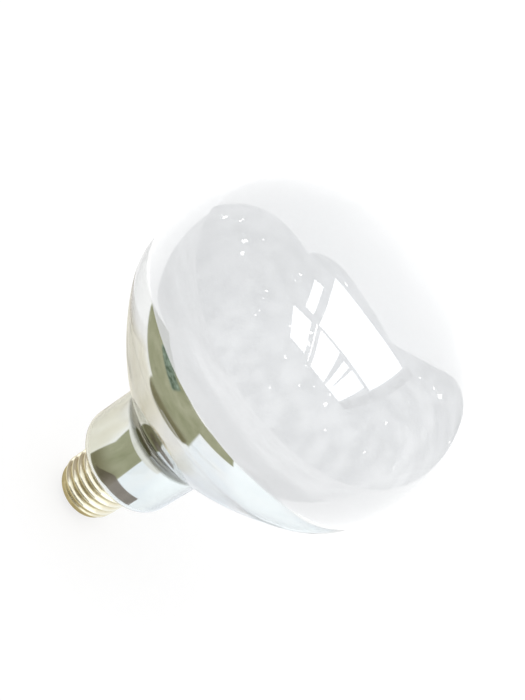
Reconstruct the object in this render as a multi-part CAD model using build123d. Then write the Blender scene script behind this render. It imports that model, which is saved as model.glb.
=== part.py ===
from build123d import *
from math import acos, asin, atan, atan2, degrees, hypot, radians, sin, sqrt
import os

# Heat lamp bulb: a blown reflector bulb with a silvered bowl and a glass domed front,
# on a brass screw base. Millimetres. The bulb's axis is +Z and the base is at the bottom.
# The origin is the middle of the flat tip of the solder drop on the centre contact.

# Screw base, from the tip upwards
solder_height = 1.0
solder_diameter = 6.0
solder_flat_diameter = 2.4
contact_diameter = 10.4
contact_thickness = 0.6
contact_edge_radius = 0.4
contact_hole_diameter = 1.8
insulator_land = 0.4
insulator_height = 6.0
insulator_hole_diameter = 2.6
shell_bottom = 4.2
shell_mouth_diameter = 18.4
shell_corner_radius = 2.4
shell_wall = 0.3
thread_lead_in = 0.2
thread_crest_diameter = 26.4
thread_root_diameter = 24.3
thread_pitch = 3.63
thread_turns = 5
rim_band = 1.5
rim_gap = 0.7
rim_solder_radius = 1.4
cement_depth = 5.0
cement_recess = 0.4

# Glass bulb, from the base upwards
collar_diameter = 21.6
collar_length = 10.0
collar_fillet = 0.6
shoulder_radius = 5.0
neck_diameter = 43.0
neck_length = 28.5
crease_radius = 7.5
bulb_diameter = 125.0
bowl_depth = 61.5
bowl_radius = 160.0
belly_radius = 37.0
dome_height = 47.0
front_radius = 142.0
glass_wall = 0.9

# Silvering on the inside of the glass, which ends just below the widest ring
mirror_film = 0.1
mirror_edge_drop = 4.0

# Glass stem with its exhaust tube and support rod
stem_diameter = 13.0
stem_wall = 0.9
stem_flare_radius = 3.0
stem_tube_length = 37.0
press_width = 15.0
press_thickness = 4.8
press_taper = 7.0
press_length = 10.0
exhaust_diameter = 4.0
exhaust_wall = 0.6
exhaust_drop = 2.0
rod_diameter = 3.2
rod_length = 17.0
button_diameter = 6.4
button_length = 4.0
button_edge_radius = 1.6

# Lead wires, posts, support wires and filament
lead_diameter = 0.5
lead_spacing = 8.4
lead_seal_length = 8.0
lead_drop = 1.5
lead_bend = 1.2
rim_bend = 0.4
rim_lead_clearance = 0.02
post_diameter = 1.2
post_straight = 4.0
post_bend = 3.0
post_rise = 5.0
filament_rise = 7.0
filament_ring_diameter = 32.0
filament_coil_diameter = 1.4
filament_gap_angle = 80.0
filament_tail = 2.6
crimp_wall = 0.4
crimp_length = 2.2
support_count = 4
support_diameter = 0.5
support_clearance = 0.05
support_root = 1.0
support_hook_angle = 200.0

# Heat shield on the stem
shield_offset = 29.0
shield_diameter = 37.0
shield_thickness = 0.4
shield_hub_length = 3.0
shield_rim_height = 1.5

# Radii and levels that follow from the sizes above
contact_radius = contact_diameter / 2
contact_hole_radius = contact_hole_diameter / 2
shell_mouth_radius = shell_mouth_diameter / 2
crest_radius = thread_crest_diameter / 2
root_radius = thread_root_diameter / 2
shell_bore_radius = root_radius - shell_wall
insulator_bottom = solder_height + contact_thickness
insulator_top = insulator_bottom + insulator_height
shell_corner_top = shell_bottom + shell_corner_radius
thread_length = (thread_turns + 0.5) * thread_pitch
rim_top = shell_corner_top + thread_lead_in + thread_length + rim_band
shoulder_height = rim_top + rim_gap
collar_radius = collar_diameter / 2
collar_bottom = shoulder_height - collar_length
neck_radius = neck_diameter / 2
bulb_radius = bulb_diameter / 2
stem_radius = stem_diameter / 2
stem_top = collar_bottom + stem_tube_length
press_bottom = stem_top + press_taper
press_top = press_bottom + press_length
exhaust_radius = exhaust_diameter / 2
exhaust_tip = collar_bottom - exhaust_drop
button_level = press_top + rod_length
lead_radius = lead_diameter / 2
lead_offset = lead_spacing / 2
lead_turn_level = exhaust_tip - lead_drop
post_radius = post_diameter / 2
post_foot = press_top - lead_seal_length
filament_level = button_level + filament_rise
filament_radius = filament_ring_diameter / 2
coil_radius = filament_coil_diameter / 2
filament_start = filament_gap_angle / 2 - 90.0
filament_sweep = 360.0 - filament_gap_angle
support_radius = support_diameter / 2
shield_level = collar_bottom + shield_offset


def follow(start, heading, moves, inset=0.0):
    """Edges of a smooth line in the (radius, height) plane.

    Each move is a size and a turn in degrees. No turn is a straight run of that length, and a
    left (+) or right (-) turn is an arc of that radius. The inset shifts the line to its left.
    """
    heading = Vector(*heading)
    point = Vector(*start) + Vector(-heading.Y, heading.X) * inset
    edges = []
    for size, turn in moves:
        if turn == 0:
            edge = Line(point, point + heading * size)
        elif turn > 0:
            edge = JernArc(point, heading, size - inset, turn)
        else:
            edge = JernArc(point, heading, size + inset, turn)
        edges.append(edge)
        point = edge @ 1
        heading = edge % 1
    return edges


def spin(edges):
    """Solid of revolution about the bulb's axis, of the outline that the edges close."""
    return revolve(Plane.XZ * make_face(edges), Axis.Z)


def spin_between(outer, inner):
    """Solid of revolution of the wall between two lines, closed straight across their ends."""
    foot = Line(outer[0] @ 0, inner[0] @ 0)
    head = Line(outer[-1] @ 1, inner[-1] @ 1)
    return spin([*outer, *inner, foot, head])


def spin_points(*points):
    """Solid of revolution of a straight-sided outline of (radius, height) points."""
    return spin(Polyline(*points, close=True).edges())


def upright(radius, bottom, top, x=0.0):
    """Upright round bar between two levels."""
    standing = (Align.CENTER, Align.CENTER, Align.MIN)
    return Pos(x, 0, bottom) * Cylinder(radius, top - bottom, align=standing)


def wire(path, radius):
    """Round wire along a path."""
    return sweep(Plane(origin=path @ 0, z_dir=path % 0) * Circle(radius), path=path)


# Bulb outline: smooth arcs from the collar in the base to the middle of the front


def bowl_turns():
    """Turns of the crease and belly arcs that let the bowl arc touch both without a corner."""
    across = (bulb_radius - belly_radius) - (neck_radius + crease_radius)
    span = hypot(across, bowl_depth)
    to_crease = bowl_radius + crease_radius
    to_belly = bowl_radius - belly_radius
    tilt = degrees(atan2(bowl_depth, across))
    at_crease = degrees(acos((span**2 + to_crease**2 - to_belly**2) / (2 * span * to_crease)))
    at_belly = degrees(acos((span**2 + to_belly**2 - to_crease**2) / (2 * span * to_belly)))
    return 180.0 - tilt - at_crease, at_belly - tilt


def bulb_moves():
    flare, belly = bowl_turns()
    past_mirror = degrees(asin(mirror_edge_drop / belly_radius))
    flat = neck_radius - shoulder_radius - collar_radius - collar_fillet
    reach = 2 * front_radius * dome_height - dome_height**2 - bulb_radius**2
    edge_radius = reach / (2 * (front_radius - bulb_radius))
    front_turn = degrees(asin((bulb_radius - edge_radius) / (front_radius - edge_radius)))
    return [
        (collar_length - collar_fillet, 0),
        (collar_fillet, -90),
        (flat, 0),
        (shoulder_radius, 90),
        (neck_length - shoulder_radius, 0),
        (crease_radius, -flare),
        (bowl_radius, flare - belly),
        (belly_radius, belly - past_mirror),
        (belly_radius, past_mirror),
        (edge_radius, 90 - front_turn),
        (front_radius, front_turn),
    ]


silvered_moves = slice(2, 8)


def bulb_line(depth):
    """The bulb's outline at a depth below its outer skin."""
    return follow((collar_radius, collar_bottom), (0, 1), bulb_moves(), depth)


def glass_envelope():
    return spin_between(bulb_line(0), bulb_line(glass_wall))


def mirror_coating():
    outer = bulb_line(glass_wall)[silvered_moves]
    inner = bulb_line(glass_wall + mirror_film)[silvered_moves]
    return spin_between(outer, inner)


# Screw base


def shell_foot(upright_run):
    """The shell's turned-in mouth and its corner, with a straight run up from it."""
    ledge = root_radius - shell_corner_radius - shell_mouth_radius
    return [(ledge, 0), (shell_corner_radius, 90), (upright_run, 0)]


def shell_line(moves, depth):
    return follow((shell_mouth_radius, shell_bottom), (1, 0), moves, depth)


def screw_shell():
    """Rolled screw shell: ridges of round crests and roots, which end in a plain rim."""
    depth = crest_radius - root_radius
    turn = 2 * degrees(atan(2 * depth / thread_pitch))
    radius = thread_pitch / 4 / sin(radians(turn))
    ridge = [(radius, -turn), (radius, 2 * turn), (radius, -turn)]
    last_rise = [(radius, -turn), (radius, turn), (rim_band, 0)]
    outside = shell_foot(thread_lead_in) + ridge * thread_turns + last_rise
    inside = shell_foot(rim_top - shell_corner_top)
    return spin_between(shell_line(outside, 0), shell_line(inside, shell_wall))


def base_insulator():
    """Black glass cast into the bottom of the shell, with a cone down to the contact."""
    seat = shell_line(shell_foot(insulator_top - shell_corner_top), shell_wall)
    hole = insulator_hole_diameter / 2
    inner = Polyline(
        seat[-1] @ 1,
        (hole, insulator_top),
        (hole, insulator_bottom),
        (contact_radius + insulator_land, insulator_bottom),
        (shell_mouth_radius, shell_bottom),
        seat[0] @ 0,
    )
    return spin([*seat, *inner.edges()])


def centre_contact():
    width = contact_radius - contact_hole_radius
    moves = [
        (width - contact_edge_radius, 0),
        (contact_edge_radius, 90),
        (contact_thickness - contact_edge_radius, 0),
    ]
    face = follow((contact_hole_radius, solder_height), (1, 0), moves)
    back = Polyline(face[-1] @ 1, (contact_hole_radius, insulator_bottom), face[0] @ 0)
    return spin([*face, *back.edges()])


def contact_solder():
    """Solder drop under the contact, pressed flat at its tip, which fills the hole round the lead."""
    flat = solder_flat_diameter / 2
    reach = solder_diameter / 2 - flat
    radius = (reach**2 + solder_height**2) / (2 * solder_height)
    turn = degrees(2 * atan(solder_height / reach))
    drop = follow((0, 0), (1, 0), [(flat, 0), (radius, turn)])
    top = Polyline(
        drop[-1] @ 1,
        (contact_hole_radius, solder_height),
        (contact_hole_radius, insulator_bottom),
        (0, insulator_bottom),
        (0, 0),
    )
    return spin([*drop, *top.edges()]) - tip_lead()


def rim_solder():
    """Solder drop on the outside of the shell's rim, round the end of the rim lead."""
    drop = Pos(-crest_radius, 0, rim_top - rim_solder_radius) * Sphere(rim_solder_radius)
    return drop - upright(crest_radius, shell_bottom, shoulder_height) - rim_lead()


def basing_cement():
    top = rim_top - cement_recess
    bottom = rim_top - cement_depth
    ring = spin_points(
        (collar_radius, bottom),
        (shell_bore_radius, bottom),
        (shell_bore_radius, top),
        (collar_radius, top),
    )
    return ring - rim_lead()


# Glass stem


def lead_bores():
    """What the wires take up in the pressed top of the stem, on both sides."""
    sides = (-lead_offset, lead_offset)
    thin = [upright(lead_radius, collar_bottom, post_foot, x) for x in sides]
    thick = [upright(post_radius, post_foot, press_top, x) for x in sides]
    return thin + thick


def stem_tube():
    """Flared tube, sealed to the collar at its foot and pressed flat round the leads at its top."""
    moves = [
        (collar_radius - stem_radius - stem_flare_radius, 0),
        (stem_flare_radius, -90),
        (stem_tube_length - stem_flare_radius, 0),
    ]
    start = (collar_radius, collar_bottom)
    tube = spin_between(follow(start, (-1, 0), moves), follow(start, (-1, 0), moves, stem_wall))
    flat = Ellipse(press_width / 2, press_thickness / 2)
    taper = loft([Pos(0, 0, stem_top) * Circle(stem_radius), Pos(0, 0, press_bottom) * flat])
    press = extrude(Pos(0, 0, press_bottom) * flat, press_length)
    return tube + taper + press - lead_bores()


def exhaust_tube():
    """Thin tube up the middle of the stem, closed by a round tip at its foot."""
    moves = [(exhaust_radius, 90), (stem_top - exhaust_tip - exhaust_radius, 0)]
    outer = follow((0, exhaust_tip), (1, 0), moves)
    return spin_between(outer, follow((0, exhaust_tip), (1, 0), moves, exhaust_wall))


def support_rod():
    """Glass rod that stands on the press, with a button that holds the support wires."""
    half = button_length / 2
    width = button_diameter / 2 - button_edge_radius
    moves = [
        (width, 0),
        (button_edge_radius, 90),
        (button_length - 2 * button_edge_radius, 0),
        (button_edge_radius, 90),
        (width, 0),
    ]
    side = follow((0, button_level - half), (1, 0), moves)
    button = spin([*side, Line(side[-1] @ 1, side[0] @ 0)])
    return upright(rod_diameter / 2, press_top, button_level) + button - support_wires()


def heat_shield():
    """Metal disc with a hub that grips the stem and a turned-up rim."""
    outer = shield_diameter / 2
    top = shield_level + shield_thickness
    hub = stem_radius + shield_thickness
    return spin_points(
        (stem_radius, shield_level),
        (outer, shield_level),
        (outer, shield_level + shield_rim_height),
        (outer - shield_thickness, shield_level + shield_rim_height),
        (outer - shield_thickness, top),
        (hub, top),
        (hub, shield_level + shield_hub_length),
        (stem_radius, shield_level + shield_hub_length),
    )


# Wires


def tip_lead():
    """Thin wire from the press, down to the axis and through the insulator to the contact."""
    path = FilletPolyline(
        (lead_offset, 0, post_foot),
        (lead_offset, 0, lead_turn_level),
        (0, 0, insulator_top),
        (0, 0, solder_height / 2),
        radius=lead_bend,
    )
    return wire(path, lead_radius)


def rim_lead():
    """Thin wire from the press, up between collar and shell and over the shell's rim."""
    between = (collar_radius + shell_bore_radius) / 2
    outside = crest_radius + lead_radius + rim_lead_clearance
    over = rim_top + rim_gap / 2
    path = FilletPolyline(
        (-lead_offset, 0, post_foot),
        (-lead_offset, 0, lead_turn_level),
        (-between, 0, lead_turn_level),
        (-between, 0, over),
        (-outside, 0, over),
        (-outside, 0, rim_top - rim_solder_radius),
        radius=[lead_bend, lead_bend, rim_bend, rim_bend],
    )
    return wire(path, lead_radius)


def filament_path():
    """Open ring with a straight tail at each end."""
    ring = CenterArc((0, 0, filament_level), filament_radius, filament_start, filament_sweep)
    first = Line(ring @ 0 - (ring % 0) * filament_tail, ring @ 0)
    last = Line(ring @ 1, ring @ 1 + (ring % 1) * filament_tail)
    return Wire([first, ring, last])


def filament():
    return wire(filament_path(), coil_radius)


def post(side):
    """Thick wire from the press to one end of the filament, with a sleeve crimped on its tail."""
    path = filament_path()
    end = 0 if side > 0 else 1
    outward = (path % end) * -side
    tail_end = path @ end
    middle = tail_end - outward * (crimp_length / 2)
    stem = FilletPolyline(
        (side * lead_offset, 0, post_foot),
        (side * lead_offset, 0, press_top + post_straight),
        (middle.X, middle.Y, filament_level - post_rise),
        (middle.X, middle.Y, filament_level - coil_radius),
        radius=post_bend,
    )
    sleeve_line = Line(tail_end - outward * crimp_length, tail_end)
    sleeve = wire(sleeve_line, coil_radius + crimp_wall)
    return wire(stem, post_radius) + sleeve - filament()


def support_wire(angle):
    """Thin wire from the button, which passes under the filament and hooks round it."""
    loop = coil_radius + support_radius + support_clearance
    rise = filament_level - button_level
    run = filament_radius - support_root
    distance = hypot(run, rise)
    slope = atan2(rise, run) - asin(loop / distance)
    arm = PolarLine((support_root, button_level), sqrt(distance**2 - loop**2), degrees(slope))
    hook = JernArc(arm @ 1, arm % 1, loop, support_hook_angle)
    path = Plane.XZ * Wire([arm, hook])
    return Rot(0, 0, angle) * wire(path, support_radius)


def support_wires():
    step = filament_sweep / (support_count + 1)
    return [support_wire(filament_start + step * (i + 1)) for i in range(support_count)]


nodes = {
    "glass_envelope": glass_envelope(),
    "mirror_coating": mirror_coating(),
    "screw_shell": screw_shell(),
    "base_insulator": base_insulator(),
    "centre_contact": centre_contact(),
    "contact_solder": contact_solder(),
    "rim_solder": rim_solder(),
    "basing_cement": basing_cement(),
    "stem_tube": stem_tube(),
    "exhaust_tube": exhaust_tube(),
    "support_rod": support_rod(),
    "heat_shield": heat_shield(),
    "tip_lead": tip_lead(),
    "rim_lead": rim_lead(),
    "tip_post": post(1),
    "rim_post": post(-1),
    "filament": filament(),
    "support_wires": Compound(children=support_wires()),
}

os.makedirs("parts", exist_ok=True)
for name, shape in nodes.items():
    export_step(shape, f"parts/{name}.step")
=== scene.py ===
from math import acos, asin, atan2, ceil, cos, degrees, hypot, pi, radians, sin

import bpy
from mathutils import Matrix, Vector


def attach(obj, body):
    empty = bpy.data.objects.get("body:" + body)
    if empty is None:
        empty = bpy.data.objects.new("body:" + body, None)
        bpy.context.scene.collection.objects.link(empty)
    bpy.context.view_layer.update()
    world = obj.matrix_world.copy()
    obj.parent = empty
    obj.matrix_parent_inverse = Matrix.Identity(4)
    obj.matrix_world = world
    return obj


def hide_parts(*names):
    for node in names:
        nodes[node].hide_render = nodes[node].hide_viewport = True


# Heat lamp bulb: silvered reflector bulb with a frosted domed front on a brass screw base.

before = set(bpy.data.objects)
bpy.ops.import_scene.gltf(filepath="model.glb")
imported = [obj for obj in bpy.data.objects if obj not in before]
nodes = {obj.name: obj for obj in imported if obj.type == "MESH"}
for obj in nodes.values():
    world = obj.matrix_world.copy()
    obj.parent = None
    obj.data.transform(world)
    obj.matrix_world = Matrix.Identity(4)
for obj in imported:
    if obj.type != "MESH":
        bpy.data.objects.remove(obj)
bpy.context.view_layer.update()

# Sizes in millimetres, the same as in the solids
MM = 0.001
shell_bottom = 4.2
shell_mouth_radius = 9.2
shell_corner_radius = 2.4
shell_wall = 0.3
thread_lead_in = 0.2
crest_radius = 13.2
root_radius = 12.15
thread_pitch = 3.63
thread_turns = 5
rim_band = 1.5
rim_gap = 0.7
shell_corner_top = shell_bottom + shell_corner_radius
thread_start = shell_corner_top + thread_lead_in
thread_end = thread_start + (thread_turns + 0.5) * thread_pitch
rim_top = thread_end + rim_band
shoulder_height = rim_top + rim_gap

collar_radius = 10.8
collar_length = 10.0
collar_fillet = 0.6
shoulder_radius = 5.0
neck_radius = 21.5
neck_length = 28.5
crease_radius = 7.5
bulb_radius = 62.5
bowl_depth = 61.5
bowl_radius = 160.0
belly_radius = 37.0
dome_height = 47.0
front_radius = 142.0
glass_wall = 0.9
mirror_edge_drop = 4.0
collar_bottom = shoulder_height - collar_length

mount_height = 78.0
filament_level = collar_bottom + mount_height
filament_radius = 16.0
coil_radius = 0.7
filament_gap_angle = 80.0
filament_tail = 2.6

# Finer sizes that the solids don't have: the thread's run-out, the film's gap to the glass, the coil's wire
thread_run_out = 1.6
mirror_gap = 0.02
mirror_film = 0.08
filament_wire_radius = 0.11
filament_coil_pitch = 0.46

# How many moves of the bulb's outline make its collar, and how many lead up to the silvering's edge
collar_moves = 2
silvered_moves = 8

# Fineness of the meshes: faces round the axis, degrees and millimetres per step of a line
bulb_sides = 192
bulb_arc_step = 2.0
bulb_line_step = 1.5
shell_sides = 144
shell_arc_step = 6.0
shell_line_step = 0.16
coil_steps_per_turn = 14.0
wire_sides = 6
stage_arc_step = 5.0
sharp_angle = 50.0
axis_tolerance = 1e-4

# How strongly the bulb and the stem bend light, and the front's coat, which stands for both its faces
glass_ior = 1.5
stem_ior = 1.55
front_coat_ior = 2.2

# Heights at the crease between which painted shade darkens the silvering: where it starts, is full, fades
# again and the silvering is bright
crease_shade_start = 55.5
crease_shade_full = 57.5
crease_shade_fades = 62.0
crease_shade_end = 67.0

# Strength of the light from floor and sky, and its strength where it is mirrored straight
floor_glow = 0.74
floor_glow_mirrored = 1.45
sky_glow = 1.0
sky_glow_mirrored = 1.55

# Softbox overhead, in metres and watts
softbox_size = 0.9
softbox_power = 2.0
softbox_place = (0.25, -0.35, 1.1)
softbox_aim = (0, 0, 0.08)

# Floor and the layers just over it, in millimetres
floor_radius = 2600.0
table_level = 0.3
far_floor_level = 0.4
sheet_level = 0.5
card_level = 0.6
far_floor_inner = 240.0
far_floor_dark = 900.0
far_floor_outer = 1550.0
sheet_corners = ((-95, -160), (152, -160), (152, 160), (-95, 160))
table_edge = (
    (-90, 1500), (5, 926), (76, 349), (90, 175), (110, 60), (150, 13), (150, -160), (75, -185), (-60, -490),
)
table_corners = ((-680, -1780), (1500, -1780), (1500, 1500))

# Patches on the sheet: boxes between two corners and discs round a middle, with a soft edge's width
beige_box = ((-95, -95), (60, 0), 25)
pale_blue_box = ((-80, 8), (120, 160), 10)
bright_blue_box = ((-90, 50), (150, 158), 30)
olive_box = ((52, -170), (160, 17), 4)
olive_disc = ((60, -20), 34, 4)
olive_strip = ((116.5, 11), (160, 76), 3)
leaf_green_box = ((105, -112), (140, -40), 6)
brown_disc = ((0, 0), 74, 18)
dull_gold_disc = ((10, -2), 36, 14)
dark_gold_disc = ((29, 0), 13, 8)

# Upright cards round the neck and base: arcs in degrees, ends and heights in millimetres
neck_card_radius = 45.0
brown_card_arc = (-25.0, 60.0)
brown_card_start = 12.0
brown_card_rise = 20.0
brown_card_peak = 20.0
brown_card_fall = 4.0
pale_card_arc = (-60.0, 40.0)
pale_card_bottom = 34.0
pale_card_top = 38.5
side_card_ends = ((-90, 52), (20, 52))
side_card_top = 40
slat_ends = ((70, -55), (70, 40))
slat_heights = ((1.0, 13.0), (16.0, 27.0), (30.0, 48.0))
board_ends = ((-40, -75), (62, -75))

# Room and window, in millimetres and degrees: a pane has a left, right, low and high side and a lean
room_radius = 1600.0
room_sides = 72
room_rings = 18
room_start = -113.0
room_end = 155.0
room_opening_top = 60.0
window_height = 1000.0
window_turn = 13.5
window_panes = (
    (-120, 215, -318, -225, 0.0),
    (-330, 255, -150, 520, 0.0),
    (300, 700, -440, -215, 0.2),
    (270, 755, -172, -158, 0.22),
    (285, 770, -115, 100, 0.24),
    (315, 775, 172, 240, 0.17),
    (300, 770, 272, 468, 0.1),
)
window_sill = (-440, 780, 540, 655, 0.0)

# Camera: angles, distance, lens in pixels, and the pixel at which the bulb's axis passes a level
view_height_angle = 31.0
view_lean_angle = 33.772
view_distance = 351.647
view_focal_pixels = 1040.95
view_level = 110.0
picture_size = (525, 700)
axis_pixel = (280.052, 363.005)


# Helpers for meshes


def walk(start, heading, moves, inset, arc_step, line_step):
    """Points of a smooth line in the (radius, height) plane.

    Each move is a size and a turn in degrees, as in the solids: no turn is a straight run, and a
    left (+) or right (-) turn is an arc of that radius. The inset shifts the line to its left.
    """
    angle = atan2(heading[1], heading[0])
    point = Vector(start) + inset * Vector((-sin(angle), cos(angle)))
    points = [point]
    for size, turn in moves:
        if turn == 0:
            steps = ceil(size / line_step)
            run = size * Vector((cos(angle), sin(angle)))
            points += [point + run * i / steps for i in range(1, steps + 1)]
        else:
            side = 1 if turn > 0 else -1
            reach = side * (size - side * inset)
            centre = point + reach * Vector((-sin(angle), cos(angle)))
            steps = ceil(abs(turn) / arc_step)
            for i in range(1, steps + 1):
                ahead = angle + radians(turn) * i / steps
                points.append(centre + reach * Vector((sin(ahead), -cos(ahead))))
            angle += radians(turn)
        point = points[-1]
    return points


def lathe(name, outline, around, is_second=None):
    """Closed mesh of the outline's (radius, height) points, in millimetres, turned about the axis.

    Rings of faces whose number the function picks get the second material.
    """
    vertices = []
    rings = []
    for radius, height in outline:
        if radius < axis_tolerance:
            rings.append([len(vertices)] * around)
            vertices.append((0.0, 0.0, height * MM))
            continue
        rings.append(list(range(len(vertices), len(vertices) + around)))
        for i in range(around):
            angle = 2 * pi * i / around
            vertices.append((radius * cos(angle) * MM, radius * sin(angle) * MM, height * MM))
    faces = []
    finishes = []
    for number, (low, high) in enumerate(zip(rings, rings[1:] + rings[:1])):
        for i in range(around):
            j = (i + 1) % around
            corners = list(dict.fromkeys((low[i], low[j], high[j], high[i])))
            if len(corners) > 2:
                faces.append(corners)
                finishes.append(1 if is_second and is_second(number) else 0)
    mesh = bpy.data.meshes.new(name)
    mesh.from_pydata(vertices, [], faces)
    mesh.polygons.foreach_set("material_index", finishes)
    mesh.shade_smooth()
    mesh.set_sharp_from_angle(angle=radians(sharp_angle))
    return mesh


def add_piece(name, mesh, materials, replaced):
    """Object of the lamp that stands for a CAD node; a mesh from a node tree has its material."""
    piece = bpy.data.objects.new(name, mesh)
    bpy.context.scene.collection.objects.link(piece)
    for material in materials:
        mesh.materials.append(material)
    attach(piece, "root")
    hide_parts(replaced)


# Helpers for node trees


class Tree:
    """Adds nodes to a node tree; a value that is a socket is linked, and any other is set."""

    def __init__(self, tree):
        self.tree = tree

    def add(self, kind, inputs=None, **settings):
        node = self.tree.nodes.new(kind)
        for key, value in settings.items():
            setattr(node, key, value)
        for key, value in (inputs or {}).items():
            self.put(node.inputs[key], value)
        return node

    def put(self, socket, value):
        if isinstance(value, bpy.types.NodeSocket):
            self.tree.links.new(value, socket)
        else:
            socket.default_value = value

    def math(self, operation, *values):
        return self.add("ShaderNodeMath", dict(enumerate(values)), operation=operation).outputs[0]

    def range(self, value, low, high, to_low=0.0, to_high=1.0, smooth=False):
        kind = "SMOOTHSTEP" if smooth else "LINEAR"
        inputs = {0: value, 1: low, 2: high, 3: to_low, 4: to_high}
        return self.add("ShaderNodeMapRange", inputs, interpolation_type=kind).outputs[0]

    def noise(self, vector, scale, detail=3.0, roughness=0.5):
        inputs = {"Vector": vector, "Scale": scale, "Detail": detail, "Roughness": roughness}
        return self.add("ShaderNodeTexNoise", inputs).outputs["Fac"]

    def stretched(self, vector, scale):
        return self.add("ShaderNodeMapping", {"Vector": vector, "Scale": scale}).outputs[0]

    def parts(self, vector):
        return self.add("ShaderNodeSeparateXYZ", {0: vector}).outputs

    def ramp(self, factor, *stops):
        node = self.add("ShaderNodeValToRGB", {"Fac": factor})
        elements = node.color_ramp.elements
        while len(elements) < len(stops):
            elements.new(0.5)
        for element, (place, colour) in zip(elements, stops):
            element.position = place
            element.color = (*colour, 1.0)
        return node.outputs["Color"]

    def mix(self, factor, first, second):
        node = self.add("ShaderNodeMix", data_type="RGBA")
        colours = [socket for socket in node.inputs if socket.type == "RGBA"]
        self.put(node.inputs["Factor"], factor)
        self.put(colours[0], first)
        self.put(colours[1], second)
        return next(socket for socket in node.outputs if socket.type == "RGBA")

    def first_mirrored(self):
        """One for a ray that comes straight from a mirroring surface, and nothing for one through glass."""
        rays = self.add("ShaderNodeLightPath").outputs
        return self.math("SUBTRACT", rays["Is Glossy Ray"], rays["Is Transmission Ray"])

    def bump(self, height, strength, distance):
        inputs = {"Height": height, "Strength": strength, "Distance": distance}
        return self.add("ShaderNodeBump", inputs).outputs["Normal"]


def new_material(name):
    """A material, its tree, its shader and the object coordinates, in metres."""
    material = bpy.data.materials.new(name)
    material.use_nodes = True
    tree = Tree(material.node_tree)
    shader = material.node_tree.nodes["Principled BSDF"]
    place = tree.add("ShaderNodeTexCoord").outputs["Object"]
    return material, tree, shader, place


def axis_distance(tree, place):
    """Distance from the lamp's axis."""
    flat = tree.add("ShaderNodeVectorMath", {0: place, 1: (1, 1, 0)}, operation="MULTIPLY")
    return tree.add("ShaderNodeVectorMath", {0: flat.outputs[0]}, operation="LENGTH").outputs["Value"]


def dimmed(tree, share, colour):
    """A colour at a share of its strength."""
    return tree.mix(share, (0.0, 0.0, 0.0, 1.0), colour)


# Materials


def blown_waves(tree, place):
    """Bump of the slow waves that blowing leaves in glass."""
    return tree.bump(tree.noise(place, 35.0, 2.0), 0.12, 1.0 * MM)


def blown_glass():
    material, tree, shader, place = new_material("blown_glass")
    upward = tree.range(tree.parts(place)["Z"], 20 * MM, 120 * MM)
    tint = tree.ramp(upward, (0.0, (0.965, 0.985, 0.978)), (1.0, (0.99, 0.995, 0.994)))
    tree.put(shader.inputs["Base Color"], tint)
    shader.inputs["Roughness"].default_value = 0.0
    shader.inputs["IOR"].default_value = glass_ior
    shader.inputs["Transmission Weight"].default_value = 1.0
    tree.put(shader.inputs["Normal"], blown_waves(tree, place))
    return material


def frosted_glass():
    """Front, etched inside, so that what is behind shows only as a soft shade, and polished outside.

    Its coat stands for both faces of the wall, so it mirrors far more than one face does.
    """
    material, tree, shader, place = new_material("frosted_glass")
    etched = tree.noise(place, 900.0, 4.0, 0.6)
    clouds = tree.noise(place, 22.0, 3.0)
    shade = tree.math("ADD", tree.math("MULTIPLY", etched, 0.3), tree.math("MULTIPLY", clouds, 0.7))
    colour = tree.ramp(shade, (0.35, (0.754, 0.767, 0.78)), (0.65, (0.794, 0.807, 0.82)))
    tree.put(shader.inputs["Base Color"], colour)
    tree.put(shader.inputs["Roughness"], tree.range(etched, 0.2, 0.8, 0.42, 0.52))
    shader.inputs["IOR"].default_value = glass_ior
    shader.inputs["Transmission Weight"].default_value = 0.3
    shader.inputs["Coat Weight"].default_value = 1.0
    shader.inputs["Coat Roughness"].default_value = 0.0
    shader.inputs["Coat IOR"].default_value = front_coat_ior
    tree.put(shader.inputs["Coat Normal"], blown_waves(tree, place))
    return material


def silver_film():
    material, tree, shader, place = new_material("silver_film")
    cloud = tree.noise(place, 60.0, 3.0)
    height = tree.parts(place)["Z"]
    bright = tree.ramp(cloud, (0.3, (0.91, 0.91, 0.9)), (0.7, (0.94, 0.94, 0.935)))
    # Painted shade: the silvering's colour is dark in a band along the crease
    above = tree.range(height, crease_shade_start * MM, crease_shade_full * MM, smooth=True)
    below = tree.range(height, crease_shade_end * MM, crease_shade_fades * MM, smooth=True)
    painted_crease_shade = tree.math("MULTIPLY", above, below)
    tree.put(shader.inputs["Base Color"], tree.mix(painted_crease_shade, bright, (0.27, 0.27, 0.24, 1)))
    shader.inputs["Metallic"].default_value = 1.0
    tree.put(shader.inputs["Roughness"], tree.range(cloud, 0.3, 0.8, 0.015, 0.05))
    waves = tree.noise(place, 28.0, 2.0)
    tree.put(shader.inputs["Normal"], tree.bump(waves, 0.15, 1.0 * MM))
    return material


def rolled_brass():
    material, tree, shader, place = new_material("rolled_brass")
    # Painted shade and highlight: the colour is darker towards the thread's roots and lighter on its crests,
    # under a stain that wanders at random
    out = tree.range(axis_distance(tree, place), root_radius * MM, crest_radius * MM)
    stain = tree.noise(place, 260.0, 6.0, 0.65)
    shade = tree.math("ADD", tree.math("MULTIPLY", out, 0.6), tree.math("MULTIPLY", stain, 0.5))
    colour = tree.ramp(
        shade,
        (0.12, (0.46, 0.4, 0.25)),
        (0.4, (0.82, 0.76, 0.56)),
        (0.75, (0.95, 0.92, 0.78)),
    )
    tree.put(shader.inputs["Base Color"], colour)
    shader.inputs["Metallic"].default_value = 1.0
    tree.put(shader.inputs["Roughness"], tree.range(shade, 0.2, 0.9, 0.28, 0.12))
    lines = tree.noise(tree.stretched(place, (60, 60, 4000)), 1.0, 4.0, 0.7)
    dents = tree.noise(place, 500.0, 3.0)
    height = tree.math("ADD", tree.math("MULTIPLY", lines, 0.4), dents)
    tree.put(shader.inputs["Normal"], tree.bump(height, 0.4, 0.05 * MM))
    return material


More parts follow.
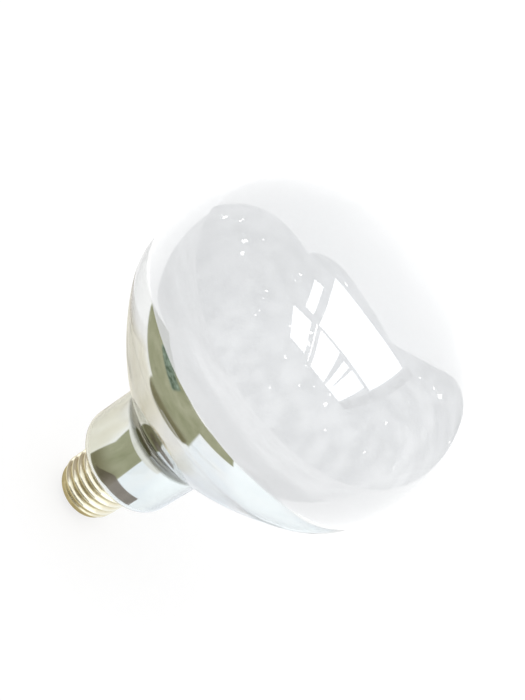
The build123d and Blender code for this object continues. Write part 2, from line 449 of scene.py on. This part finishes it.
def black_base_glass():
    material, tree, shader, place = new_material("black_base_glass")
    swirl = tree.noise(place, 300.0, 5.0, 0.6)
    colour = tree.ramp(swirl, (0.3, (0.012, 0.01, 0.016)), (0.8, (0.05, 0.045, 0.06)))
    tree.put(shader.inputs["Base Color"], colour)
    tree.put(shader.inputs["Roughness"], tree.range(swirl, 0.2, 0.8, 0.06, 0.2))
    tree.put(shader.inputs["Normal"], tree.bump(tree.noise(place, 420.0, 2.0), 0.3, 0.15 * MM))
    return material


def soft_solder():
    material, tree, shader, place = new_material("soft_solder")
    grain = tree.noise(place, 900.0, 5.0, 0.6)
    colour = tree.ramp(grain, (0.3, (0.5, 0.5, 0.5)), (0.75, (0.74, 0.74, 0.73)))
    tree.put(shader.inputs["Base Color"], colour)
    shader.inputs["Metallic"].default_value = 1.0
    tree.put(shader.inputs["Roughness"], tree.range(grain, 0.2, 0.8, 0.28, 0.55))
    tree.put(shader.inputs["Normal"], tree.bump(grain, 0.4, 0.12 * MM))
    return material


def baked_cement():
    material, tree, shader, place = new_material("baked_cement")
    grain = tree.noise(place, 1500.0, 6.0, 0.7)
    colour = tree.ramp(grain, (0.3, (0.5, 0.45, 0.37)), (0.7, (0.68, 0.63, 0.54)))
    tree.put(shader.inputs["Base Color"], colour)
    shader.inputs["Roughness"].default_value = 0.9
    tree.put(shader.inputs["Normal"], tree.bump(grain, 0.5, 0.2 * MM))
    return material


def stem_glass():
    material, tree, shader, place = new_material("stem_glass")
    drawn = tree.noise(tree.stretched(place, (500, 500, 30)), 1.0, 3.0)
    colour = tree.ramp(drawn, (0.3, (0.95, 0.97, 0.96)), (0.7, (0.985, 0.99, 0.988)))
    tree.put(shader.inputs["Base Color"], colour)
    shader.inputs["Roughness"].default_value = 0.02
    shader.inputs["IOR"].default_value = stem_ior
    shader.inputs["Transmission Weight"].default_value = 1.0
    tree.put(shader.inputs["Normal"], tree.bump(drawn, 0.1, 0.2 * MM))
    return material


def drawn_wire(name, dark, light, low_roughness, high_roughness):
    material, tree, shader, place = new_material(name)
    grain = tree.noise(tree.stretched(place, (3000, 3000, 250)), 1.0, 4.0, 0.6)
    tree.put(shader.inputs["Base Color"], tree.ramp(grain, (0.3, dark), (0.7, light)))
    shader.inputs["Metallic"].default_value = 1.0
    tree.put(shader.inputs["Roughness"], tree.range(grain, 0.2, 0.8, low_roughness, high_roughness))
    tree.put(shader.inputs["Normal"], tree.bump(grain, 0.2, 0.03 * MM))
    return material


def pressed_sheet():
    material, tree, shader, place = new_material("pressed_sheet")
    brushed = tree.noise(tree.stretched(place, (1500, 90, 90)), 1.0, 4.0, 0.6)
    colour = tree.ramp(brushed, (0.3, (0.72, 0.72, 0.71)), (0.7, (0.86, 0.86, 0.85)))
    tree.put(shader.inputs["Base Color"], colour)
    shader.inputs["Metallic"].default_value = 1.0
    tree.put(shader.inputs["Roughness"], tree.range(brushed, 0.2, 0.8, 0.22, 0.4))
    tree.put(shader.inputs["Normal"], tree.bump(brushed, 0.15, 0.05 * MM))
    return material


# Glass bulb and its silvering


def bulb_moves():
    """Arcs and straight runs of the bulb's outline, from the collar to the middle of the front."""
    across = (bulb_radius - belly_radius) - (neck_radius + crease_radius)
    span = hypot(across, bowl_depth)
    to_crease = bowl_radius + crease_radius
    to_belly = bowl_radius - belly_radius
    tilt = degrees(atan2(bowl_depth, across))
    at_crease = degrees(acos((span**2 + to_crease**2 - to_belly**2) / (2 * span * to_crease)))
    at_belly = degrees(acos((span**2 + to_belly**2 - to_crease**2) / (2 * span * to_belly)))
    flare = 180.0 - tilt - at_crease
    belly = at_belly - tilt
    past_mirror = degrees(asin(mirror_edge_drop / belly_radius))
    flat = neck_radius - shoulder_radius - collar_radius - collar_fillet
    reach = 2 * front_radius * dome_height - dome_height**2 - bulb_radius**2
    edge_radius = reach / (2 * (front_radius - bulb_radius))
    front_turn = degrees(asin((bulb_radius - edge_radius) / (front_radius - edge_radius)))
    return [
        (collar_length - collar_fillet, 0),
        (collar_fillet, -90),
        (flat, 0),
        (shoulder_radius, 90),
        (neck_length - shoulder_radius, 0),
        (crease_radius, -flare),
        (bowl_radius, flare - belly),
        (belly_radius, belly - past_mirror),
        (belly_radius, past_mirror),
        (edge_radius, 90 - front_turn),
        (front_radius, front_turn),
    ]


def bulb_line(depth, moves):
    """The bulb's outline at a depth below its outer skin."""
    start = (collar_radius, collar_bottom)
    return walk(start, (0, 1), moves, depth, bulb_arc_step, bulb_line_step)


def glass_mesh():
    outer = bulb_line(0.0, bulb_moves())
    inner = bulb_line(glass_wall, bulb_moves())
    first_ring = len(bulb_line(0.0, bulb_moves()[:silvered_moves])) - 1
    front_rings = range(first_ring, len(outer))
    return lathe("glass_envelope", outer + inner[::-1], bulb_sides, lambda number: number in front_rings)


def mirror_mesh():
    silvered = bulb_moves()[:silvered_moves]
    skipped = len(bulb_line(0.0, silvered[:collar_moves])) - 1
    outer = bulb_line(glass_wall + mirror_gap, silvered)[skipped:]
    inner = bulb_line(glass_wall + mirror_gap + mirror_film, silvered)[skipped:]
    return lathe("silvering", outer + inner[::-1], bulb_sides)


# Screw shell: a plain turned cup, into which a node tree rolls the thread


def plain_shell_mesh():
    ledge = root_radius - shell_corner_radius - shell_mouth_radius
    moves = [(ledge, 0), (shell_corner_radius, 90), (rim_top - shell_corner_top, 0)]
    start = (shell_mouth_radius, shell_bottom)
    outer = walk(start, (1, 0), moves, 0.0, shell_arc_step, shell_line_step)
    inner = walk(start, (1, 0), moves, shell_wall, shell_arc_step, shell_line_step)
    return lathe("screw_shell", outer + inner[::-1], shell_sides)


def new_geometry_tree(name, inputs):
    """A geometry tree with named inputs; returns it and the input sockets by name."""
    tree = bpy.data.node_groups.new(name, "GeometryNodeTree")
    interface = tree.interface
    interface.new_socket("Geometry", in_out="INPUT", socket_type="NodeSocketGeometry")
    interface.new_socket("Geometry", in_out="OUTPUT", socket_type="NodeSocketGeometry")
    for label in inputs:
        kind = "NodeSocketMaterial" if label == "Material" else "NodeSocketFloat"
        interface.new_socket(label, in_out="INPUT", socket_type=kind)
    build = Tree(tree)
    sockets = build.add("NodeGroupInput").outputs
    return build, sockets


def close_tree(build, geometry, material):
    """Ends a geometry tree in plain geometry with its material."""
    real = build.add("GeometryNodeRealizeInstances", {"Geometry": geometry}).outputs[0]
    dressed = build.add("GeometryNodeSetMaterial", {"Geometry": real, "Material": material}).outputs[0]
    build.add("NodeGroupOutput", {"Geometry": dressed})


def run_tree(name, mesh, build, values):
    """Plain mesh that a geometry tree makes of a mesh, with its inputs set to the values."""
    carrier = bpy.data.objects.new(name, mesh)
    bpy.context.scene.collection.objects.link(carrier)
    modifier = carrier.modifiers.new(name, "NODES")
    modifier.node_group = build.tree
    for item in build.tree.interface.items_tree:
        if item.in_out == "INPUT" and item.name in values:
            modifier[item.identifier] = values[item.name]
    made = bpy.data.meshes.new_from_object(carrier.evaluated_get(bpy.context.evaluated_depsgraph_get()))
    carrier.modifiers.remove(modifier)
    bpy.data.objects.remove(carrier)
    made.name = name
    return made


def thread_tree():
    """Pushes a wall outwards along a right-handed helix, which fades in below and fills out above."""
    names = ["Pitch", "Depth", "Start", "End", "Run-out", "Material"]
    build, sizes = new_geometry_tree("rolled_thread", names)
    parts = build.parts(build.add("GeometryNodeInputPosition").outputs[0])
    turns = build.math("DIVIDE", build.math("ARCTAN2", parts["Y"], parts["X"]), 2 * pi)
    climbed = build.math("DIVIDE", build.math("SUBTRACT", parts["Z"], sizes["Start"]), sizes["Pitch"])
    phase = build.math("MULTIPLY", build.math("SUBTRACT", climbed, turns), 2 * pi)
    wave = build.math("MULTIPLY_ADD", build.math("COSINE", phase), 0.5, 0.5)
    above = build.math("SUBTRACT", parts["Z"], sizes["Start"])
    below = build.math("SUBTRACT", sizes["End"], parts["Z"])
    fade_in = build.range(above, 0.0, sizes["Run-out"], smooth=True)
    fade_out = build.range(below, 0.0, sizes["Run-out"], smooth=True)
    full = build.math("MULTIPLY_ADD", build.math("SUBTRACT", wave, 1.0), fade_out, 1.0)
    push = build.math("MULTIPLY", build.math("MULTIPLY", full, fade_in), sizes["Depth"])
    flat = build.add("ShaderNodeCombineXYZ", {"X": parts["X"], "Y": parts["Y"]}).outputs[0]
    outward = build.add("ShaderNodeVectorMath", {0: flat}, operation="NORMALIZE").outputs[0]
    offset = build.add("ShaderNodeVectorMath", {0: outward, "Scale": push}, operation="SCALE").outputs[0]
    moved = build.add("GeometryNodeSetPosition", {"Geometry": sizes["Geometry"], "Offset": offset}).outputs[0]
    close_tree(build, moved, sizes["Material"])
    return build


def shell_mesh(brass):
    values = {
        "Pitch": thread_pitch * MM,
        "Depth": (crest_radius - root_radius) * MM,
        "Start": thread_start * MM,
        "End": thread_end * MM,
        "Run-out": thread_run_out * MM,
        "Material": brass,
    }
    return run_tree("screw_shell", plain_shell_mesh(), thread_tree(), values)


# Filament: a node tree winds a wire round an open ring with straight tails


def coil_tree():
    """Winds a wire of a number of turns along a ring with a gap and two straight tails."""
    names = ["Ring radius", "Coil radius", "Wire radius", "Level", "Start", "Sweep", "Tail", "Turns"]
    build, sizes = new_geometry_tree("wound_filament", names + ["Material"])
    points = build.math("MULTIPLY", sizes["Turns"], coil_steps_per_turn)
    line = build.add("GeometryNodeCurvePrimitiveLine").outputs[0]
    fine = build.add("GeometryNodeResampleCurve", {"Curve": line, "Count": points}).outputs[0]
    along = build.add("GeometryNodeSplineParameter").outputs["Factor"]
    ring_length = build.math("MULTIPLY", sizes["Ring radius"], sizes["Sweep"])
    whole = build.math("MULTIPLY_ADD", sizes["Tail"], 2.0, ring_length)
    passed = build.math("SUBTRACT", build.math("MULTIPLY", along, whole), sizes["Tail"])
    on_ring = build.math("MINIMUM", build.math("MAXIMUM", passed, 0.0), ring_length)
    straight = build.math("SUBTRACT", passed, on_ring)
    angle = build.math("ADD", sizes["Start"], build.math("DIVIDE", on_ring, sizes["Ring radius"]))
    wound = build.math("MULTIPLY", build.math("MULTIPLY", along, sizes["Turns"]), 2 * pi)
    outward = build.math("COSINE", wound)
    radius = build.math("MULTIPLY_ADD", outward, sizes["Coil radius"], sizes["Ring radius"])
    cosine = build.math("COSINE", angle)
    sine = build.math("SINE", angle)
    x = build.math("SUBTRACT", build.math("MULTIPLY", radius, cosine), build.math("MULTIPLY", straight, sine))
    y = build.math("MULTIPLY_ADD", radius, sine, build.math("MULTIPLY", straight, cosine))
    z = build.math("MULTIPLY_ADD", build.math("SINE", wound), sizes["Coil radius"], sizes["Level"])
    place = build.add("ShaderNodeCombineXYZ", {"X": x, "Y": y, "Z": z}).outputs[0]
    helix = build.add("GeometryNodeSetPosition", {"Geometry": fine, "Position": place}).outputs[0]
    section = {"Resolution": wire_sides, "Radius": sizes["Wire radius"]}
    circle = build.add("GeometryNodeCurvePrimitiveCircle", section)
    tube = {"Curve": helix, "Profile Curve": circle.outputs["Curve"], "Fill Caps": True}
    wire = build.add("GeometryNodeCurveToMesh", tube).outputs[0]
    close_tree(build, wire, sizes["Material"])
    return build


def filament_mesh(tungsten):
    sweep = radians(360.0 - filament_gap_angle)
    length = filament_radius * sweep + 2 * filament_tail
    values = {
        "Ring radius": filament_radius * MM,
        "Coil radius": (coil_radius - filament_wire_radius) * MM,
        "Wire radius": filament_wire_radius * MM,
        "Level": filament_level * MM,
        "Start": radians(filament_gap_angle / 2 - 90.0),
        "Sweep": sweep,
        "Tail": filament_tail * MM,
        "Turns": length / filament_coil_pitch,
        "Material": tungsten,
    }
    mesh = run_tree("filament", bpy.data.meshes.new("coil"), coil_tree(), values)
    mesh.shade_smooth()
    return mesh


# The lamp


def build_lamp():
    brass = rolled_brass()
    solder = soft_solder()
    tungsten = drawn_wire("tungsten_wire", (0.48, 0.47, 0.46), (0.68, 0.67, 0.66), 0.25, 0.45)
    nickel = drawn_wire("nickel_wire", (0.74, 0.73, 0.7), (0.88, 0.87, 0.84), 0.15, 0.35)
    copper = drawn_wire("coated_copper_wire", (0.5, 0.36, 0.27), (0.66, 0.5, 0.4), 0.25, 0.45)
    clear_stem = stem_glass()
    finishes = [blown_glass(), frosted_glass()]
    add_piece("glass_envelope_skin", glass_mesh(), finishes, "glass_envelope")
    add_piece("silvering", mirror_mesh(), [silver_film()], "mirror_coating")
    add_piece("rolled_screw_shell", shell_mesh(brass), [], "screw_shell")
    add_piece("wound_filament", filament_mesh(tungsten), [], "filament")
    dressed = {
        "base_insulator": black_base_glass(),
        "centre_contact": brass,
        "contact_solder": solder,
        "rim_solder": solder,
        "basing_cement": baked_cement(),
        "stem_tube": clear_stem,
        "exhaust_tube": clear_stem,
        "support_rod": clear_stem,
        "heat_shield": pressed_sheet(),
        "tip_lead": copper,
        "rim_lead": copper,
        "tip_post": nickel,
        "rim_post": nickel,
        "support_wires": tungsten,
    }
    for name, material in dressed.items():
        nodes[name].data.materials.clear()
        nodes[name].data.materials.append(material)


# Stage: a floor, then cards, a table, a window and a room that only reflections show, light and camera


def stage_mesh(name, vertices, faces, material):
    """Object of the stage, from points in millimetres."""
    mesh = bpy.data.meshes.new(name)
    mesh.from_pydata([Vector(point) * MM for point in vertices], [], faces)
    mesh.materials.append(material)
    piece = bpy.data.objects.new(name, mesh)
    bpy.context.scene.collection.objects.link(piece)
    return piece


def arc_points(radius, level, start, end):
    """Points round the axis at a radius, from one angle to another."""
    steps = round((end - start) / stage_arc_step)
    angles = [radians(start + stage_arc_step * i) for i in range(steps + 1)]
    return [(radius * cos(angle), radius * sin(angle), level) for angle in angles]


def ring_points(radius, level):
    return arc_points(radius, level, 0.0, 360.0 - stage_arc_step)


def upright_points(start, end, low, high):
    """Corners of an upright card between two points of the floor."""
    return [(*start, low), (*end, low), (*end, high), (*start, high)]


def quads(points):
    """One face for every four points."""
    return [list(range(i, i + 4)) for i in range(0, len(points), 4)]


def glowing_material(name, colour_of):
    """Dull surface that only glows, in the colour that a function of its tree and place gives."""
    material, tree, shader, place = new_material(name)
    shader.inputs["Base Color"].default_value = (0, 0, 0, 1)
    shader.inputs["Roughness"].default_value = 1.0
    shader.inputs["Specular IOR Level"].default_value = 0.0
    tree.put(shader.inputs["Emission Color"], colour_of(tree, place))
    shader.inputs["Emission Strength"].default_value = 1.0
    return material


def add_card(name, points, faces, colour_of, glossy=True, transmission=True):
    """Glowing object of the stage that the camera doesn't see, only rays off a mirror or through glass."""
    card = stage_mesh(name, points, faces, glowing_material(name, colour_of))
    card.visible_camera = False
    card.visible_diffuse = False
    card.visible_shadow = False
    card.visible_glossy = glossy
    card.visible_transmission = transmission


def floor_material():
    """Pale floor that shows white, still takes a soft shadow and is brighter where it is mirrored."""
    material, tree, shader, place = new_material("pale_floor")
    paper = tree.noise(place, 300.0, 4.0)
    colour = tree.ramp(paper, (0.3, (0.3, 0.3, 0.3)), (0.7, (0.31, 0.31, 0.31)))
    tree.put(shader.inputs["Base Color"], colour)
    shader.inputs["Roughness"].default_value = 0.9
    shader.inputs["Specular IOR Level"].default_value = 0.0
    shader.inputs["Emission Color"].default_value = (1, 1, 1, 1)
    glow = tree.range(tree.first_mirrored(), 0.0, 1.0, floor_glow, floor_glow_mirrored)
    tree.put(shader.inputs["Emission Strength"], glow)
    return material


def build_floor():
    rim = ring_points(floor_radius, 0.0)
    stage_mesh("floor", rim, [list(range(len(rim)))], floor_material())


def mottled(tree, place, scale, dark, light):
    """Colour that wanders between a dark one and a light one."""
    return tree.ramp(tree.noise(place, scale, 4.0, 0.6), (0.35, dark), (0.68, light))


def box_mask(tree, place, low, high, blur):
    """One inside a box of the floor, in millimetres, and nothing outside, with a soft edge between."""
    parts = tree.parts(place)
    mask = 1.0
    for axis, start, end in zip("XY", low, high):
        rise = tree.range(parts[axis], start * MM, (start + blur) * MM, smooth=True)
        fall = tree.range(parts[axis], end * MM, (end - blur) * MM, smooth=True)
        mask = tree.math("MULTIPLY", mask, tree.math("MULTIPLY", rise, fall))
    return mask


def disc_mask(tree, place, centre, radius, blur):
    """One inside a disc of the floor, in millimetres, and nothing outside, with a soft edge between."""
    middle = Vector((*centre, 0)) * MM
    shifted = tree.add("ShaderNodeVectorMath", {0: place, 1: middle}, operation="SUBTRACT")
    reach = axis_distance(tree, shifted.outputs[0])
    return tree.range(reach, radius * MM, (radius - blur) * MM, smooth=True)


def build_sheet():
    """Sheet under the lamp, in soft patches of colour that the neck, the bowl and the base mirror."""

    def patches(tree, place):
        beige = mottled(tree, place, 30.0, (0.81, 0.775, 0.66), (0.9, 0.875, 0.78))
        pale_blue = mottled(tree, place, 30.0, (0.9, 0.95, 1.0), (0.97, 0.99, 1.0))
        bright_blue = mottled(tree, place, 30.0, (1.0, 1.06, 1.09), (1.05, 1.1, 1.12))
        olive = mottled(tree, place, 25.0, (0.3, 0.31, 0.19), (0.44, 0.44, 0.31))
        brown = mottled(tree, place, 40.0, (0.17, 0.155, 0.085), (0.24, 0.225, 0.135))
        leaf_green = mottled(tree, place, 90.0, (0.08, 0.11, 0.07), (0.32, 0.4, 0.32))
        dull_gold = mottled(tree, place, 60.0, (0.58, 0.52, 0.35), (0.72, 0.66, 0.48))
        dark_gold = mottled(tree, place, 60.0, (0.36, 0.31, 0.2), (0.52, 0.47, 0.33))
        rounded = disc_mask(tree, place, *olive_disc)
        beside = tree.math("MAXIMUM", rounded, box_mask(tree, place, *olive_box))
        strip = box_mask(tree, place, *olive_strip)
        near = tree.math("MULTIPLY", rounded, disc_mask(tree, place, *brown_disc))
        by_metal = tree.first_mirrored()
        layers = [
            (beige, box_mask(tree, place, *beige_box)),
            (pale_blue, box_mask(tree, place, *pale_blue_box)),
            (bright_blue, box_mask(tree, place, *bright_blue_box)),
            (olive, tree.math("MAXIMUM", beside, strip)),
            (leaf_green, box_mask(tree, place, *leaf_green_box)),
            (brown, near),
            (dull_gold, tree.math("MULTIPLY", by_metal, disc_mask(tree, place, *dull_gold_disc))),
            (dark_gold, tree.math("MULTIPLY", by_metal, disc_mask(tree, place, *dark_gold_disc))),
        ]
        shown = (1.0, 1.0, 1.0, 1.0)
        for colour, mask in layers:
            shown = tree.mix(mask, shown, colour)
        return shown

    corners = [(x, y, sheet_level) for x, y in sheet_corners]
    add_card("sheet", corners, quads(corners), patches)


def add_neck_card(name, arc, low, top_of, colour_of):
    """Upright card on an arc well in front of the neck; its top edge follows the share of the arc passed."""
    bottom = arc_points(neck_card_radius, low, *arc)
    last = len(bottom) - 1
    top = [(x, y, top_of(i / last)) for i, (x, y, _) in enumerate(bottom)]
    faces = [[i + 1, i, last + i + 1, last + i + 2] for i in range(last)]
    add_card(name, bottom + top, faces, colour_of, glossy=False)


def build_neck_cards():
    """A brown card, pale behind, that the shoulder mirrors, and a pale one that the neck's top mirrors."""

    def pale(tree, place):
        return mottled(tree, place, 60.0, (0.78, 0.78, 0.72), (0.9, 0.9, 0.88))

    def brown(tree, place):
        dark = mottled(tree, place, 60.0, (0.1, 0.085, 0.055), (0.17, 0.15, 0.1))
        light = mottled(tree, place, 60.0, (0.2, 0.17, 0.14), (0.3, 0.265, 0.23))
        front = tree.mix(tree.range(tree.parts(place)["Y"], -8 * MM, 14 * MM), dark, light)
        behind = tree.add("ShaderNodeNewGeometry").outputs["Backfacing"]
        return tree.mix(behind, front, pale(tree, place))

    def brown_top(share):
        rising = brown_card_start + brown_card_rise * share
        falling = brown_card_peak - brown_card_fall * share
        return min(rising, falling)

    add_neck_card("brown_card", brown_card_arc, card_level, brown_top, brown)
    add_neck_card("pale_card", pale_card_arc, pale_card_bottom, lambda share: pale_card_top, pale)


def build_side_card():
    """Upright white card beside the base, which brightens the brass on that side."""

    def white(tree, place):
        return mottled(tree, place, 20.0, (0.92, 0.95, 1.0), (1.0, 1.0, 1.0))

    corners = upright_points(*side_card_ends, card_level, side_card_top)
    add_card("side_card", corners, quads(corners), white, transmission=False)


def build_far_floor():
    """Floor further off, darker with distance, which gives the silvered bowl its shades."""

    def shade(tree, place):
        distance = axis_distance(tree, place)
        far = tree.range(distance, far_floor_inner * MM, far_floor_dark * MM, smooth=True)
        return tree.ramp(far, (0.0, (0.95, 0.95, 0.95)), (0.5, (0.6, 0.61, 0.62)), (1.0, (0.34, 0.35, 0.36)))

    inner = ring_points(far_floor_inner, far_floor_level)
    outer = ring_points(far_floor_outer, far_floor_level)
    count = len(inner)
    faces = [[i, (i + 1) % count, (i + 1) % count + count, i + count] for i in range(count)]
    add_card("far_floor", inner + outer, faces, shade, glossy=False)


def build_slats():
    """Brown slats in front of the base and a dull board beside it, which its thread mirrors."""

    def brown(tree, place):
        slat = mottled(tree, place, 80.0, (0.1, 0.085, 0.04), (0.24, 0.21, 0.12))
        board = mottled(tree, place, 30.0, (0.36, 0.31, 0.25), (0.5, 0.45, 0.38))
        return tree.mix(tree.range(tree.parts(place)["X"], 64 * MM, 68 * MM), board, slat)

    points = []
    for low, high in slat_heights:
        points += upright_points(*slat_ends, low, high)
    points += upright_points(*board_ends, slat_heights[0][0], slat_heights[-1][1])
    add_card("slats", points, quads(points), brown, transmission=False)


def build_table():
    """Grey table beyond the sheet, which the front mirrors."""

    def dull_grey(tree, place):
        beside = tree.range(tree.parts(place)["Y"], -320 * MM, -150 * MM, 0.72, 1.0, smooth=True)
        near = tree.range(axis_distance(tree, place), 260 * MM, 420 * MM, 0.76, 1.0, smooth=True)
        grey = mottled(tree, place, 7.0, (1.4, 1.41, 1.42), (1.9, 1.91, 1.92))
        return dimmed(tree, tree.math("MULTIPLY", beside, near), grey)

    points = [(x, y, table_level) for x, y in table_edge + table_corners]
    add_card("table", points, [list(range(len(points)))], dull_grey, transmission=False)


def build_window():
    """Window high above, in panes between bars over a dark sill, which the front mirrors."""
    turn = radians(window_turn)

    def add_panes(name, panes, colour_of):
        points = []
        for left, right, low, high, lean in panes:
            for u, v in ((left, low), (right, low), (right, high), (left, high)):
                v += lean * (u - left)
                x = u * cos(turn) - v * sin(turn)
                y = u * sin(turn) + v * cos(turn)
                points.append((x, y, window_height))
        add_card(name, points, quads(points), colour_of, transmission=False)

    def daylight(tree, place):
        return mottled(tree, place, 2.5, (3.4, 3.6, 3.8), (4.0, 4.0, 4.0))

    def shadow(tree, place):
        return mottled(tree, place, 6.0, (0.4, 0.4, 0.4), (0.9, 0.9, 0.9))

    add_panes("window", window_panes, daylight)
    add_panes("sill", [window_sill], shadow)


def build_room():
    """Grey room on the camera's side, a half globe that is open behind the lamp up to a height."""
    points = []
    for i in range(room_rings + 1):
        rise = radians(90.0 * i / room_rings)
        for j in range(room_sides):
            turn = radians(360.0 * j / room_sides)
            out = room_radius * cos(rise)
            points.append((out * cos(turn), out * sin(turn), room_radius * sin(rise)))
    faces = []
    for i in range(room_rings):
        for j in range(room_sides):
            heading = (360.0 / room_sides * (j + 0.5) + 180.0) % 360.0 - 180.0
            is_low = 90.0 * i / room_rings < room_opening_top
            if is_low and not room_start < heading < room_end:
                continue
            k = (j + 1) % room_sides
            low = i * room_sides
            high = low + room_sides
            faces.append([low + j, low + k, high + k, high + j])

    def grey(tree, place):
        tall = tree.noise(tree.stretched(place, (4.0, 4.0, 1.6)), 1.0, 3.0, 0.5)
        inside = tree.ramp(tall, (0.36, (0.5, 0.51, 0.52)), (0.64, (0.95, 0.96, 0.97)))
        walls = tree.ramp(tall, (0.36, (1.08, 1.1, 1.12)), (0.64, (1.66, 1.68, 1.7)))
        parts = tree.parts(place)
        aside = tree.range(parts["Y"], -1500 * MM, -500 * MM, 0.66, 1.0, smooth=True)
        behind = tree.range(parts["X"], -1500 * MM, -500 * MM, 0.62, 1.0, smooth=True)
        overhead = tree.range(parts["Z"], 900 * MM, 1500 * MM, 1.0, 0.6)
        lit = tree.math("MULTIPLY", tree.math("MULTIPLY", aside, behind), overhead)
        shaded = dimmed(tree, lit, walls)
        glint = tree.range(tree.noise(tree.stretched(place, (7.0, 7.0, 4.0)), 1.0, 2.0), 0.7, 0.72)
        mirrored = tree.mix(glint, shaded, (5.0, 5.0, 5.0, 1.0))
        return tree.mix(tree.first_mirrored(), inside, mirrored)

    add_card("room", points, faces, grey)


def build_stage():
    build_floor()
    build_sheet()
    build_neck_cards()
    build_side_card()
    build_slats()
    build_far_floor()
    build_table()
    build_window()
    build_room()


def build_light():
    world = bpy.data.worlds.new("studio")
    world.use_nodes = True
    bpy.context.scene.world = world
    tree = Tree(world.node_tree)
    world.node_tree.nodes.clear()
    level = tree.range(tree.first_mirrored(), 0.0, 1.0, sky_glow, sky_glow_mirrored)
    white = tree.add("ShaderNodeBackground", {"Color": (1, 1, 1, 1), "Strength": level}).outputs[0]
    tree.add("ShaderNodeOutputWorld", {"Surface": white})
    lamp = bpy.data.lights.new("overhead_softbox", "AREA")
    lamp.shape = "DISK"
    lamp.size = softbox_size
    lamp.energy = softbox_power
    softbox = bpy.data.objects.new("overhead_softbox", lamp)
    softbox.location = softbox_place
    aim = Vector(softbox_aim) - Vector(softbox_place)
    softbox.rotation_euler = aim.to_track_quat("-Z", "Y").to_euler()
    softbox.visible_glossy = False
    softbox.visible_transmission = False
    bpy.context.scene.collection.objects.link(softbox)


def build_camera():
    """Camera at the photograph's viewing angle, rolled so that the bulb leans as it does there."""
    height = radians(view_height_angle)
    roll = radians(90.0 - view_lean_angle)
    back = Vector((cos(height), 0.0, sin(height)))
    level = Vector((0.0, 1.0, 0.0))
    upright = back.cross(level)
    right = level * cos(roll) + upright * sin(roll)
    up = upright * cos(roll) - level * sin(roll)
    scale = view_distance / view_focal_pixels
    across = (axis_pixel[0] - picture_size[0] / 2) * scale
    above = (picture_size[1] / 2 - axis_pixel[1]) * scale
    place = Vector((0, 0, view_level)) - right * across - up * above + back * view_distance
    data = bpy.data.cameras.new("camera")
    data.sensor_width = 36.0
    data.lens = view_focal_pixels / picture_size[1] * data.sensor_width
    data.clip_start = 0.01
    camera = bpy.data.objects.new("camera", data)
    turn = Matrix((right, up, back)).transposed().to_4x4()
    camera.matrix_world = Matrix.Translation(place * MM) @ turn
    bpy.context.scene.collection.objects.link(camera)
    bpy.context.scene.camera = camera


build_lamp()
build_stage()
build_light()
build_camera()
bpy.context.scene.view_settings.view_transform = "Standard"
